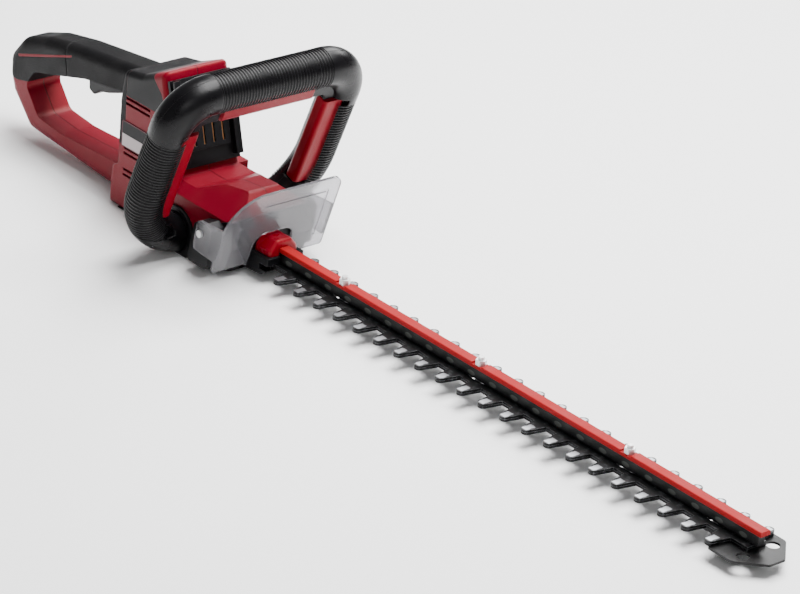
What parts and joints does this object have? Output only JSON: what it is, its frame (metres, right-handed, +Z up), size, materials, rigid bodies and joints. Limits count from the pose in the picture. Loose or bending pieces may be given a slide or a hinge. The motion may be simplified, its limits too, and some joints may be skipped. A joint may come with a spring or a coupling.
{
  "type": "hedge trimmer",
  "caption": "Battery hedge trimmer with a double-sided reciprocating blade, a ribbed bow handle with switch bars, a rear loop handle with a trigger and a clear hand guard.",
  "frame": {"origin": "bottom centre of the whole tool, as it stands on its flat underside", "axes": "+X forward along the blades, +Y to the left of the user, +Z up"},
  "size_m": [0.97, 0.2136, 0.1863],
  "materials": {
    "red_shell": "fine moulded grain, slightly satin",
    "black_rubber": "soft matt overmould",
    "red_stripe": "moulded stripe",
    "dark_shell": "fine moulded grain",
    "label_face": "printed plate, blank",
    "bow_rubber": "ribbed soft grip",
    "red_bar": "satin moulded",
    "black_plastic": "moulded",
    "clear_guard": "smoky clear polycarbonate",
    "red_coat": "powder coat",
    "blade_steel": "black coated steel with bare ground tips",
    "black_plate": "black coated steel",
    "bright_steel": "zinc plated",
    "spring_steel": "drawn wire",
    "gear_steel": "hardened",
    "bronze": "sintered bronze",
    "cast_alloy": "die cast",
    "motor_steel": "zinc plated",
    "core_steel": "stacked laminations",
    "copper": "bare copper",
    "board": "circuit board"
  },
  "bodies": {
    "body": {"housing_left": "red_shell", "housing_right": "red_shell", "rear_grip": "black_rubber", "rubber_feet": "black_rubber", "grip_stripe": "red_stripe", "tower_collar": "dark_shell", "gear_cover": "dark_shell", "bow_bosses": "dark_shell", "label_plate": "label_face", "bow_front_shell": "bow_rubber", "bow_rear_shell": "bow_rubber", "battery_rails": "black_plastic", "terminal_block": "black_plastic", "rear_switch": "black_plastic", "bar_switches": "black_plastic", "spacer_strip": "black_plastic", "hand_guard": "clear_guard", "blade_bar": "red_coat", "nose_hood": "red_coat", "tip_guard": "black_plate", "tip_screw": "black_plate", "blade_bolts": "bright_steel", "blade_nuts": "bright_steel", "blade_washers": "bright_steel", "guide_sleeves": "bright_steel", "guard_screws": "bright_steel", "case_screws": "bright_steel", "housing_screws": "bright_steel", "trigger_pin": "bright_steel", "motor_bearings": "bright_steel", "trigger_spring": "spring_steel", "bar_springs": "spring_steel", "gear_bushes": "bronze", "gear_case": "cast_alloy", "gear_plate": "cast_alloy", "heat_sink": "cast_alloy", "motor_can": "motor_steel", "motor_cap": "motor_steel", "contact_blades": "copper", "controller_board": "board"},
    "upper_blade_set": {"upper_blade": "blade_steel"},
    "lower_blade_set": {"lower_blade": "blade_steel"},
    "drive": {"drive_gear": "gear_steel", "eccentrics": "gear_steel", "gear_shaft": "bright_steel"},
    "rotor": {"motor_shaft": "bright_steel", "pinion": "gear_steel", "armature": "core_steel", "fan": "black_plastic"},
    "rear_trigger": {"trigger": "black_plastic"},
    "top_bar": {"switch_bar_top": "red_bar"},
    "left_bar": {"switch_bar_left": "red_bar"},
    "right_bar": {"switch_bar_right": "red_bar"}
  },
  "joints": [
    {"name": "lower_blade_slide", "type": "slide", "parent": "body", "child": "lower_blade_set", "axis": [1, 0, 0], "range_m": [-0.0065, 0.0065]},
    {"name": "upper_blade_slide", "type": "slide", "parent": "body", "child": "upper_blade_set", "axis": [1, 0, 0], "range_m": [-0.0065, 0.0065]},
    {"name": "gear_spin", "type": "hinge", "parent": "body", "child": "drive", "pos_m": [-0.187, 0, 0.0235], "axis": [0, 0, 1], "continuous": true},
    {"name": "motor_spin", "type": "hinge", "parent": "body", "child": "rotor", "pos_m": [-0.151, 0, 0.0235], "axis": [0, 0, 1], "continuous": true},
    {"name": "trigger_pull", "type": "hinge", "parent": "body", "child": "rear_trigger", "pos_m": [-0.327, 0, 0.101], "axis": [0, 1, 0], "range_deg": [0, 6], "stiffness_Nm_per_rad": 3, "springref_deg": -1.72},
    {"name": "top_bar_press", "type": "slide", "parent": "body", "child": "top_bar", "axis": [0.3633, 0, 0.9317], "range_m": [0, 0.003], "stiffness_N_per_m": 1200, "springref_m": -0.001},
    {"name": "left_bar_press", "type": "slide", "parent": "body", "child": "left_bar", "axis": [0, 1, 0], "range_m": [0, 0.003], "stiffness_N_per_m": 1200, "springref_m": -0.001},
    {"name": "right_bar_press", "type": "slide", "parent": "body", "child": "right_bar", "axis": [0, -1, 0], "range_m": [0, 0.003], "stiffness_N_per_m": 1200, "springref_m": -0.001}
  ],
  "couplings": [
    {"joint": "upper_blade_slide", "follows": "lower_blade_slide", "ratio": -1},
    {"joint": "motor_spin", "follows": "gear_spin", "ratio": -5}
  ]
}
